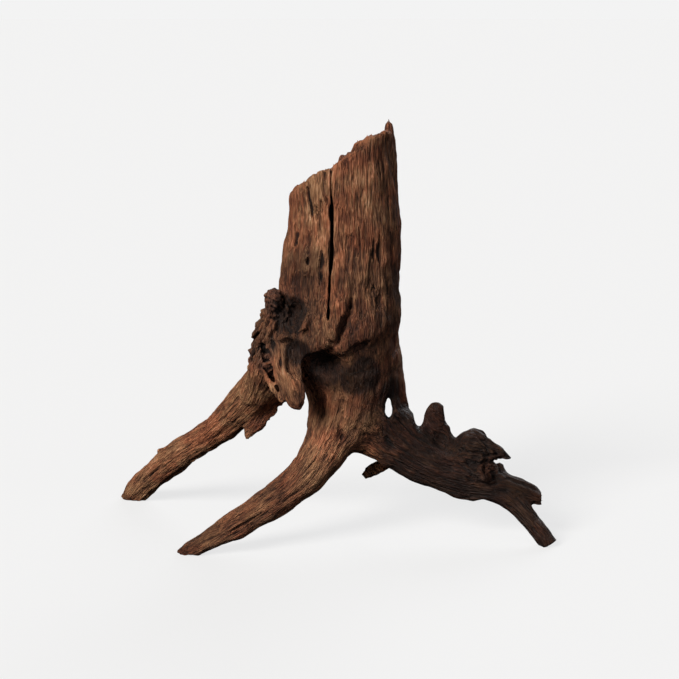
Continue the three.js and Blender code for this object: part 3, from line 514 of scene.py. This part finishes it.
def lay_grain(made):
    """Keeps, for each face, its place in the straightened wood of the two limbs that it lies nearest to."""
    mesh = made.data
    places = places_of(mesh)
    found = [straightened(places, stations) for stations in LIMBS.values()]
    weights = 1 / remoteness(np.stack([far for far, _ in found], axis=1))
    shifts = LIMBS_APART * np.arange(len(LIMBS))[None, :, None]
    grain = np.stack([place for _, place in found], axis=1) + shifts
    corners = np.empty(len(mesh.loops), np.int32)
    mesh.loops.foreach_get("vertex_index", corners)
    counts = np.empty(len(mesh.polygons), np.int32)
    mesh.polygons.foreach_get("loop_total", counts)
    faces = np.repeat(np.arange(len(counts)), counts)
    sums = np.stack([np.bincount(faces, weights[corners, i]) for i in range(len(LIMBS))], axis=1)
    nearest, following = np.argsort(-sums, axis=1)[:, :2][faces].T
    keep(mesh, "grain_near", grain[corners, nearest], "CORNER")
    keep(mesh, "grain_next", grain[corners, following], "CORNER")
    first, second = weights[corners, nearest], weights[corners, following]
    keep(mesh, "grain_share", second / (first + second), "CORNER")


def shade_hollows(made, cad_node):
    """Finds the ridges, which weather pale, and the grooves and hollows, where the material paints shade."""
    mesh = made.data
    near = Neighbours(mesh)
    places = places_of(mesh)
    outward = near.smooth(normals_of(mesh), 2)
    around = near.smooth(places, 6)
    height = np.sum((places - around) * outward, axis=1)
    keep(mesh, "ridge", np.clip(height / RIDGE_HEIGHT, -2.5, 2.5))
    tree = BVHTree.FromPolygons(
        [v.co for v in cad_node.data.vertices], [p.vertices for p in cad_node.data.polygons]
    )
    rays = np.random.default_rng(7).normal(size=(RAYS, 3))
    rays /= np.linalg.norm(rays, axis=1)[:, None]
    ways = [Vector(r) for r in rays]
    open_share = np.ones(len(mesh.vertices), np.float32)
    for i, vertex in enumerate(mesh.vertices):
        normal = Vector(outward[i])
        start = vertex.co + normal * RAY_START
        clear = asked = 0.0
        for way in ways:
            facing = way.dot(normal)
            aim = way if facing > 0 else -way
            facing = abs(facing)
            asked += facing
            hit = tree.ray_cast(start, aim, RAY_REACH)[3]
            clear += facing if hit is None else facing * FAR_WOOD * hit / RAY_REACH
        open_share[i] = clear / max(asked, 1e-6)
    # How far nearby wood closes each vertex in, kept for the material to paint as shade
    keep(mesh, "occlusion_shade", 1 - near.smooth(open_share, 3))


# Node trees


class Tree:
    """Adds nodes to a tree from left to right and joins them."""

    def __init__(self, tree):
        self.tree = tree
        self.column = 0

    def add(self, kind, inputs=None, **settings):
        node = self.tree.nodes.new(kind)
        self.column += 1
        node.location = (180 * self.column, 0)
        for name, value in settings.items():
            setattr(node, name, value)
        for name, value in (inputs or {}).items():
            self.feed(node.inputs[name], value)
        return node

    def feed(self, socket, value):
        if isinstance(value, bpy.types.NodeSocket):
            self.tree.links.new(value, socket)
        else:
            socket.default_value = value

    def math(self, operation, *values):
        return self.add("ShaderNodeMath", dict(enumerate(values)), operation=operation).outputs[0]

    def multiply(self, first, second):
        vectors = {0: first, 1: second}
        return self.add("ShaderNodeVectorMath", vectors, operation="MULTIPLY").outputs[0]

    def scaled(self, vector, scale):
        inputs = {0: vector, "Scale": scale}
        return self.add("ShaderNodeVectorMath", inputs, operation="SCALE").outputs[0]

    def map_range(self, value, low, high, to_low=0.0, to_high=1.0):
        inputs = {"Value": value, "From Min": low, "From Max": high, "To Min": to_low, "To Max": to_high}
        return self.add("ShaderNodeMapRange", inputs).outputs[0]

    def mix_colour(self, share, first, second, blend="MIX"):
        inputs = {0: share, 6: first, 7: second}
        node = self.add("ShaderNodeMix", inputs, data_type="RGBA", blend_type=blend, clamp_factor=True)
        return node.outputs[2]

    def noise(self, place, scale, detail, distortion=0.0):
        inputs = {"Vector": place, "Scale": scale, "Detail": detail, "Distortion": distortion}
        return self.add("ShaderNodeTexNoise", inputs).outputs[0]

    def attribute(self, name, output="Fac"):
        """A shader's input from an attribute of the mesh."""
        return self.add("ShaderNodeAttribute", attribute_name=name).outputs[output]

    def named(self, name, data_type="FLOAT"):
        """A geometry group's input from an attribute of the mesh."""
        node = self.add("GeometryNodeInputNamedAttribute", {"Name": name}, data_type=data_type)
        return node.outputs["Attribute"]


def fibre_group():
    """A shader group: noise drawn out along the fibres, from the straightened places of the two limbs."""
    group = bpy.data.node_groups.new("Fine fibres", "ShaderNodeTree")
    group_input(group, "Width", "NodeSocketFloat")
    group_input(group, "Slenderness", "NodeSocketFloat")
    group.interface.new_socket("Streak", in_out="OUTPUT", socket_type="NodeSocketFloat")
    tree = Tree(group)
    source = tree.add("NodeGroupInput")
    across = tree.math("DIVIDE", 1.0, source.outputs["Width"])
    along = tree.math("DIVIDE", across, source.outputs["Slenderness"])
    scale = tree.add("ShaderNodeCombineXYZ", {"X": across, "Y": across, "Z": along}).outputs[0]
    samples = [
        tree.noise(tree.multiply(tree.attribute(name, "Vector"), scale), 1.0, 1.5, 0.3)
        for name in ("grain_near", "grain_next")
    ]
    mixed = tree.add("ShaderNodeMix", {0: tree.attribute("grain_share"), 2: samples[0], 3: samples[1]})
    sink = tree.add("NodeGroupOutput")
    tree.feed(sink.inputs[0], tree.map_range(mixed.outputs[0], 0.3, 0.7))
    return group


def dry_colour(tree, colours, place, fine, coarse, ridge):
    """The dry wood, from deep in its grooves to pale on its driest ridges: darker grooves are painted shade,
    paler ridges are wear.
    """
    mottle = tree.noise(place, 75.0, 4.0)
    # The ridge term paints shade in the grooves and pales the ridges as wear; the ochre term is partly
    # painted light
    lighter = (
        (tree.attribute("streak"), 0.07), (fine, 0.52), (coarse, 0.20), (ridge, 0.12),
        (tree.math("SUBTRACT", mottle, 0.5), 0.7), (tree.attribute("ochre"), 0.19),
    )
    tone = 0.02
    for cause, share in lighter:
        tone = tree.math("MULTIPLY_ADD", cause, share, tone)
    ramp = tree.add("ShaderNodeValToRGB", {"Fac": tone})
    elements = ramp.color_ramp.elements
    steps = (colours.deep, colours.dark, colours.brown, colours.ochre, colours.pale)
    for i, colour in enumerate(steps):
        position = i / (len(steps) - 1)
        element = elements[i] if i < 2 else elements.new(position)
        element.position = position
        element.color = (*colour, 1.0)
    return ramp.outputs[0]


def patched_colour(tree, colours, colour, place, fine, coarse):
    """The same wood with its reddish streaks, its silvered knobs and its fresh breaks."""
    reddish = tree.noise(place, 42.0, 3.0)
    redness = tree.map_range(tree.math("MULTIPLY_ADD", coarse, 0.25, reddish), 0.5, 0.75)
    reddened = tree.mix_colour(1.0, colour, (*colours.red, 1.0), "MULTIPLY")
    colour = tree.mix_colour(redness, colour, reddened)
    greyed = tree.mix_colour(tree.map_range(fine, 0.2, 1.0), colour, (*colours.grey, 1.0))
    colour = tree.mix_colour(tree.math("MULTIPLY", tree.attribute("grey"), 0.5), colour, greyed)
    broken = tree.map_range(coarse, 0.0, 0.8, 0.35, 0.9)
    fresh = tree.math("MULTIPLY", tree.attribute("fresh"), broken)
    return tree.mix_colour(fresh, colour, (*colours.fresh, 1.0))


def shade_and_wet_colour(tree, colours, colour, ridge, wet_and_shade):
    """The same wood with painted shade, darkest in hollows and in grooves, and darker where it is wet, which
    is partly wet wood and partly painted shade.
    """
    # Painted shade where nearby wood closes the skin in
    occlusion_shade = tree.map_range(tree.attribute("occlusion_shade"), 0.3, 0.8)
    soaked_and_shaded = tree.map_range(wet_and_shade, 0.0, 0.8, 0.0, 0.96)
    # Painted shade in the grooves
    groove = tree.map_range(ridge, -0.4, -1.8, 0.0, 0.8)
    darkness = tree.math("MAXIMUM", tree.math("MAXIMUM", occlusion_shade, soaked_and_shaded), groove)
    shade = tree.mix_colour(darkness, (1.0, 1.0, 1.0, 1.0), (*colours.shade_and_wet_tint, 1.0))
    return tree.mix_colour(1.0, colour, shade, "MULTIPLY")


def wood_material(colours):
    """Weathered wood: fine fibres, pale ridges, painted shade in hollows and grooves, and patches of ochre
    with painted light, grey, wet with painted shade, and fresh.
    """
    material = bpy.data.materials.new("weathered wood")
    material.use_nodes = True
    material.node_tree.nodes.clear()
    tree = Tree(material.node_tree)
    place = tree.add("ShaderNodeTexCoord").outputs["Object"]
    ridge = tree.attribute("ridge")
    # Wet wood and painted shade
    wet_and_shade = tree.attribute("wet_and_shade")
    group = fibre_group()
    fine, coarse = (
        tree.add("ShaderNodeGroup", {"Width": width, "Slenderness": length}, node_tree=group).outputs[0]
        for width, length in (FINE_FIBRES, COARSE_FIBRES)
    )
    colour = dry_colour(tree, colours, place, fine, coarse, ridge)
    colour = patched_colour(tree, colours, colour, place, fine, coarse)
    colour = shade_and_wet_colour(tree, colours, colour, ridge, wet_and_shade)
    height = tree.math("MULTIPLY_ADD", coarse, 2.0, fine)
    bump = tree.add("ShaderNodeBump", {"Height": height, "Strength": 1.0, "Distance": BUMP})
    roughness = tree.math("MULTIPLY_ADD", wet_and_shade, -0.16, 0.84)
    finish = {
        "Base Color": colour,
        "Normal": bump.outputs[0],
        "Roughness": tree.math("MULTIPLY_ADD", fine, -0.08, roughness),
        "Specular IOR Level": 0.28,
    }
    shader = tree.add("ShaderNodeBsdfPrincipled", finish)
    tree.add("ShaderNodeOutputMaterial", {"Surface": shader.outputs[0]})
    return material


def group_input(group, name, kind):
    """Adds a named input to a group, and gives its identifier, which a modifier knows it by."""
    return group.interface.new_socket(name, in_out="INPUT", socket_type=kind).identifier


def geometry_group(name):
    group = bpy.data.node_groups.new(name, "GeometryNodeTree")
    group.interface.new_socket("Geometry", in_out="OUTPUT", socket_type="NodeSocketGeometry")
    group_input(group, "Geometry", "NodeSocketGeometry")
    return group


def end_in_wood(tree, geometry, wood):
    """Ends a geometry tree with real meshes of the given material."""
    real = tree.add("GeometryNodeRealizeInstances", {"Geometry": geometry})
    painted = tree.add("GeometryNodeSetMaterial", {"Geometry": real.outputs[0], "Material": wood})
    tree.add("NodeGroupOutput", {0: painted.outputs[0]})


def set_up(made, group, values):
    """Puts a geometry group on an object as a modifier, with its inputs set by identifier."""
    modifier = made.modifiers.new(group.name, "NODES")
    modifier.node_group = group
    for identifier, value in values.items():
        modifier[identifier] = value


def relief_group(settings, material):
    """Geometry nodes that carve grooves, splits, pits and lumps by the heights kept at each vertex."""
    group = geometry_group("Weathered relief")
    sizes = (
        ("Groove depth", "groove", settings.groove_depth), ("Split depth", "split", -settings.split_depth),
        ("Pit depth", "pit", -settings.pit_depth), ("Lump height", "lump", settings.lump_height),
    )
    values = {group_input(group, title, "NodeSocketFloat"): value for title, _, value in sizes}
    values[group_input(group, "Wood", "NodeSocketMaterial")] = material
    tree = Tree(group)
    source = tree.add("NodeGroupInput")
    height = 0.0
    for title, name, _ in sizes:
        height = tree.math("MULTIPLY_ADD", tree.named(name), source.outputs[title], height)
    normal = tree.add("GeometryNodeInputNormal").outputs[0]
    offset = tree.scaled(normal, height)
    carved = tree.add("GeometryNodeSetPosition", {"Geometry": source.outputs[0], "Offset": offset})
    end_in_wood(tree, carved.outputs[0], source.outputs["Wood"])
    return group, values


def random_vector(tree, low, high, seed):
    inputs = {0: low, 1: high, "Seed": seed}
    return tree.add("FunctionNodeRandomValue", inputs, data_type="FLOAT_VECTOR").outputs[0]


def splinter_group(settings, material):
    """Geometry nodes that stand torn splinters on the broken ends, along the fibres."""
    group = geometry_group("Splinters")
    values = {
        group_input(group, "Density", "NodeSocketFloat"): settings.density,
        group_input(group, "Length", "NodeSocketFloat"): settings.length,
        group_input(group, "Width", "NodeSocketFloat"): settings.width,
        group_input(group, "Lean", "NodeSocketFloat"): settings.lean,
        group_input(group, "Seed", "NodeSocketInt"): settings.seed,
        group_input(group, "Wood", "NodeSocketMaterial"): material,
    }
    tree = Tree(group)
    source = tree.add("NodeGroupInput")
    density = tree.math("MULTIPLY", tree.named("broken"), source.outputs["Density"])
    points = tree.add(
        "GeometryNodeDistributePointsOnFaces",
        {"Mesh": source.outputs[0], "Density": density, "Seed": source.outputs["Seed"]},
        distribute_method="RANDOM",
    )
    spike = tree.add(
        "GeometryNodeMeshCone",
        {
            "Vertices": 5, "Side Segments": 2, "Radius Top": SPLINTER_TIP,
            "Radius Bottom": source.outputs["Width"], "Depth": source.outputs["Length"],
        },
        fill_type="TRIANGLE_FAN",
    )
    lean = random_vector(tree, (-1.0, -1.0, -1.0), (1.0, 1.0, 1.0), source.outputs["Seed"])
    tilt = tree.scaled(lean, source.outputs["Lean"])
    along = tree.named("fibre_out", "FLOAT_VECTOR")
    way = tree.add("ShaderNodeVectorMath", {0: along, 1: tilt}, operation="ADD").outputs[0]
    turn = tree.add("FunctionNodeAlignRotationToVector", {"Vector": way}, axis="Z")
    stood = tree.add(
        "GeometryNodeInstanceOnPoints",
        {
            "Points": points.outputs[0], "Instance": spike.outputs[0], "Rotation": turn.outputs[0],
            "Scale": random_vector(tree, (0.5, 0.35, 0.35), (1.3, 0.8, 1.25), 3),
        },
    )
    sunk = tree.add(
        "GeometryNodeTranslateInstances",
        {"Instances": stood.outputs[0], "Translation": (0.0, 0.0, -SPLINTER_ROOT)},
    )
    end_in_wood(tree, sunk.outputs[0], source.outputs["Wood"])
    return group, values


# What a user would change


def colour_property(name, description, default):
    return FloatVectorProperty(
        name=name, description=description, default=default, subtype="COLOR", min=0.0, max=1.0
    )


def length_property(name, description, default):
    return FloatProperty(name=name, description=description, default=default, unit="LENGTH")


class DriftwoodSkin(bpy.types.PropertyGroup):
    """The relief of the weathered wood."""

    skin_pitch: length_property("Skin pitch", "Side of the skin's squares", 0.0008)
    triangles: IntProperty(name="Triangles", description="Most triangles of the skin", default=188000)
    wear_rounds: IntProperty(name="Wear", description="Rounds of smoothing of the part's faces", default=10)
    groove_depth: length_property("Groove depth", "Depth of the grooves between the fibres", 0.00045)
    split_depth: length_property("Split depth", "Depth of the drying splits", 0.0016)
    pit_depth: length_property("Pit depth", "Depth of the rotted pits", 0.0022)
    lump_height: length_property("Lump height", "Height of the uneven swellings", 0.0016)
    seed: IntProperty(name="Seed", description="Another seed gives another piece of wood", default=11)


class DriftwoodSplinters(bpy.types.PropertyGroup):
    """The torn splinters on the broken ends."""

    density: FloatProperty(name="Density", description="Splinters to the square metre", default=30000.0)
    length: length_property("Length", "Length of a splinter", 0.0022)
    width: length_property("Width", "Radius of a splinter's foot", 0.0007)
    lean: FloatProperty(name="Lean", description="How far a splinter leans from the fibre", default=0.3)
    seed: IntProperty(name="Seed", description="Places the splinters elsewhere", default=4)


class DriftwoodColours(bpy.types.PropertyGroup):
    """The colours of the wood, from its grooves to its ridges, and of its patches."""

    deep: colour_property("Deep", "Bottom of the grooves", (0.030, 0.011, 0.005))
    dark: colour_property("Dark", "Flanks of the grooves", (0.085, 0.035, 0.017))
    brown: colour_property("Brown", "Brown of the fibres", (0.190, 0.085, 0.040))
    ochre: colour_property("Ochre", "Weathered ridges", (0.345, 0.177, 0.084))
    pale: colour_property("Pale", "Driest fibres", (0.52, 0.31, 0.18))
    red: colour_property("Red", "What the reddish streaks are tinted by", (1.0, 0.70, 0.66))
    grey: colour_property("Grey", "Silvered knobs", (0.20, 0.145, 0.115))
    fresh: colour_property("Fresh", "Freshly broken wood", (0.42, 0.16, 0.075))
    # Tint of the painted shade in hollows and grooves and of the wet patches, which are partly painted shade
    shade_and_wet_tint: colour_property("Shade_and_wet", "What the hollows are darkened by", (0.095, 0.074, 0.06))


class DriftwoodStudio(bpy.types.PropertyGroup):
    """The camera and the light."""

    lens: FloatProperty(name="Lens", description="Focal length in millimetres", default=85.0)
    distance: length_property("Distance", "From the camera to the point that it looks at", 1.1)
    elevation: FloatProperty(
        name="Elevation", description="Camera above the horizon", default=math.radians(12), subtype="ANGLE"
    )
    aim_height: length_property("Aim height", "Height that the camera looks at", 0.14)
    key: FloatProperty(name="Key", description="Strength of the soft sun from the upper left", default=4.3)
    fill: FloatProperty(name="Fill", description="Strength of the light from the front right", default=0.9)
    back: FloatProperty(name="Back", description="Strength of the light from behind", default=2.0)
    glow: FloatProperty(name="Glow", description="Share of the floor that no shadow darkens", default=0.8)
    paper: colour_property("Paper", "Colour of the floor and what lies beyond", (0.896, 0.896, 0.896))


class DriftwoodSettings(bpy.types.PropertyGroup):
    """Everything that the panel shows."""

    skin: PointerProperty(type=DriftwoodSkin)
    splinters: PointerProperty(type=DriftwoodSplinters)
    colours: PointerProperty(type=DriftwoodColours)
    studio: PointerProperty(type=DriftwoodStudio)


class DRIFTWOOD_OT_wood(bpy.types.Operator):
    """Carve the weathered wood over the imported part"""

    bl_idname = "driftwood.wood"
    bl_label = "Carve the wood"

    def execute(self, context):
        settings = context.scene.driftwood
        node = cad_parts["driftwood"]
        wood = closed_copy(node)
        even_skin(wood, settings.skin)
        weather(wood, settings.skin)
        material = wood_material(settings.colours)
        set_up(wood, *relief_group(settings.skin, material))
        apply_modifiers(wood)
        thin_out(wood, settings.skin.triangles)
        shade_hollows(wood, node)
        lay_grain(wood)
        wood.data.shade_smooth()
        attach(wood, "root")
        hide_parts("driftwood")
        return {"FINISHED"}


class DRIFTWOOD_OT_splinters(bpy.types.Operator):
    """Stand torn splinters on the broken ends"""

    bl_idname = "driftwood.splinters"
    bl_label = "Grow the splinters"

    def execute(self, context):
        settings = context.scene.driftwood
        wood = bpy.data.objects.get("weathered_wood")
        if wood is None:
            raise RuntimeError("carve the wood before its splinters")
        made = bpy.data.objects.new("splinters", wood.data.copy())
        context.scene.collection.objects.link(made)
        set_up(made, *splinter_group(settings.splinters, wood.data.materials[0]))
        apply_modifiers(made)
        if not made.data.vertices:
            raise RuntimeError("no splinter found a broken end to stand on")
        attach(made, "root")
        return {"FINISHED"}


class DRIFTWOOD_OT_stage(bpy.types.Operator):
    """Lay the pale floor, set the lights and aim the camera"""

    bl_idname = "driftwood.stage"
    bl_label = "Set the stage"

    def execute(self, context):
        studio = context.scene.driftwood.studio
        # Name, strength, spread in degrees, the way that the light falls, and its colour
        suns = (
            ("key light", studio.key, 26, (0.60, 0.64, -0.58), (1.0, 0.97, 0.93)),
            ("fill light", studio.fill, 60, (-0.62, 0.72, -0.30), (0.94, 0.96, 1.0)),
            ("back light", studio.back, 40, (-0.35, -0.85, -0.55), (0.96, 0.97, 1.0)),
        )
        for sun in suns:
            self.hang_sun(*sun)
        # What a white floor reflects of the suns where nothing shades it
        on_floor = sum(s * -Vector(aim).normalized().z / math.pi for _, s, _, aim, _ in suns)
        self.lay_floor(studio, on_floor)
        self.aim_camera(context.scene, studio)
        self.colour_the_air(context.scene, studio)
        context.scene.view_settings.view_transform = "Standard"
        return {"FINISHED"}

    @staticmethod
    def hang_sun(name, strength, spread, aim, colour):
        light = bpy.data.lights.new(name, "SUN")
        light.energy = strength
        light.angle = math.radians(spread)
        light.color = colour
        made = bpy.data.objects.new(name, light)
        made.rotation_euler = Vector(aim).to_track_quat("-Z", "Y").to_euler()
        bpy.context.scene.collection.objects.link(made)

    @staticmethod
    def lay_floor(studio, on_floor):
        work = bmesh.new()
        bmesh.ops.create_circle(work, cap_ends=True, segments=96, radius=FLOOR_RADIUS)
        mesh = bpy.data.meshes.new("floor")
        work.to_mesh(mesh)
        work.free()
        floor = bpy.data.objects.new("floor", mesh)
        bpy.context.scene.collection.objects.link(floor)
        material = bpy.data.materials.new("pale paper")
        material.use_nodes = True
        material.node_tree.nodes.clear()
        tree = Tree(material.node_tree)
        shaded = tuple(c / on_floor for c in studio.paper)
        matte = tree.add("ShaderNodeBsdfDiffuse", {"Color": (*shaded, 1.0)})
        glow = tree.add("ShaderNodeEmission", {"Color": (*studio.paper, 1.0), "Strength": 1.0})
        both = tree.add("ShaderNodeMixShader", {0: studio.glow, 1: matte.outputs[0], 2: glow.outputs[0]})
        tree.add("ShaderNodeOutputMaterial", {"Surface": both.outputs[0]})
        mesh.materials.append(material)
        floor.visible_diffuse = False
        floor.visible_glossy = False

    @staticmethod
    def aim_camera(scene, studio):
        camera = bpy.data.cameras.new("camera")
        camera.lens = studio.lens
        camera.clip_end = CAMERA_REACH
        made = bpy.data.objects.new("camera", camera)
        aim = Vector((STUMP_ORIGIN[0] * MM, STUMP_ORIGIN[1] * MM, studio.aim_height))
        back = Vector((0.0, -math.cos(studio.elevation), math.sin(studio.elevation)))
        made.location = aim + back * studio.distance
        made.rotation_euler = (-back).to_track_quat("-Z", "Y").to_euler()
        scene.collection.objects.link(made)
        scene.camera = made

    @staticmethod
    def colour_the_air(scene, studio):
        world = bpy.data.worlds.new("pale air")
        world.use_nodes = True
        background = world.node_tree.nodes["Background"]
        background.inputs["Color"].default_value = (*studio.paper, 1.0)
        world.cycles_visibility.diffuse = False
        world.cycles_visibility.glossy = False
        scene.world = world


class DRIFTWOOD_PT_panel(bpy.types.Panel):
    """The driftwood's pieces and sizes"""

    bl_label = "Driftwood"
    bl_idname = "DRIFTWOOD_PT_panel"
    bl_space_type = "VIEW_3D"
    bl_region_type = "UI"
    bl_category = "Driftwood"

    def draw(self, context):
        settings = context.scene.driftwood
        parts = (
            (DRIFTWOOD_OT_wood, settings.skin, settings.colours),
            (DRIFTWOOD_OT_splinters, settings.splinters),
            (DRIFTWOOD_OT_stage, settings.studio),
        )
        for operator, *groups in parts:
            box = self.layout.box()
            box.operator(operator.bl_idname)
            for group in groups:
                for name in group.__annotations__:
                    box.prop(group, name)


CLASSES = (
    DriftwoodSkin, DriftwoodSplinters, DriftwoodColours, DriftwoodStudio, DriftwoodSettings,
    DRIFTWOOD_OT_wood, DRIFTWOOD_OT_splinters, DRIFTWOOD_OT_stage, DRIFTWOOD_PT_panel,
)


def register():
    for made in CLASSES:
        bpy.utils.register_class(made)
    bpy.types.Scene.driftwood = PointerProperty(type=DriftwoodSettings)


def unregister():
    del bpy.types.Scene.driftwood
    for made in reversed(CLASSES):
        bpy.utils.unregister_class(made)


def main():
    register()
    bpy.ops.driftwood.wood()
    bpy.ops.driftwood.splinters()
    bpy.ops.driftwood.stage()


if __name__ == "__main__":
    main()
